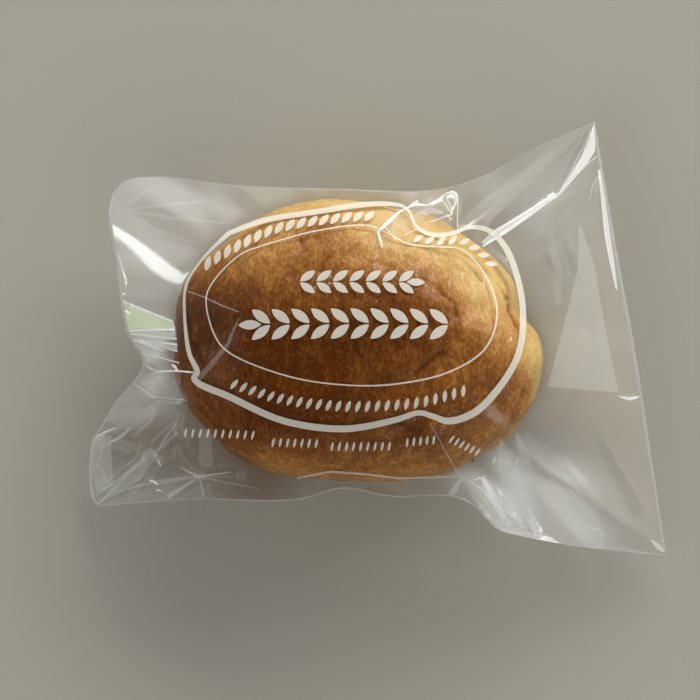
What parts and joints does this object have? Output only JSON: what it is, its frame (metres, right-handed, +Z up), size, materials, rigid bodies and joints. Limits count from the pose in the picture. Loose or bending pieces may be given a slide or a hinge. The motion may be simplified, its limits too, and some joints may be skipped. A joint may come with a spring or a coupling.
{
  "type": "bagged beef bun",
  "caption": "Oval filled bread bun heat-sealed in a clear, crinkled film bag with a white oval printed on the front, lying flat.",
  "frame": {"origin": "on the surface the bag lies on, under the middle of its outline", "axes": "+X along the bag towards its straight sealed end, +Y across the bag, +Z up out of the printed front"},
  "size_m": [0.1737, 0.13, 0.0515],
  "materials": {
    "clear_film": "thin clear glossy film, crinkled",
    "bun_crust": "baked crust, egg-washed, satin gloss, brown on the crown and pale yellow low on the sides",
    "white_print": "thin white ink, slightly see-through"
  },
  "bodies": {
    "root": {"filled_bag": "clear_film"}
  },
  "joints": []
}
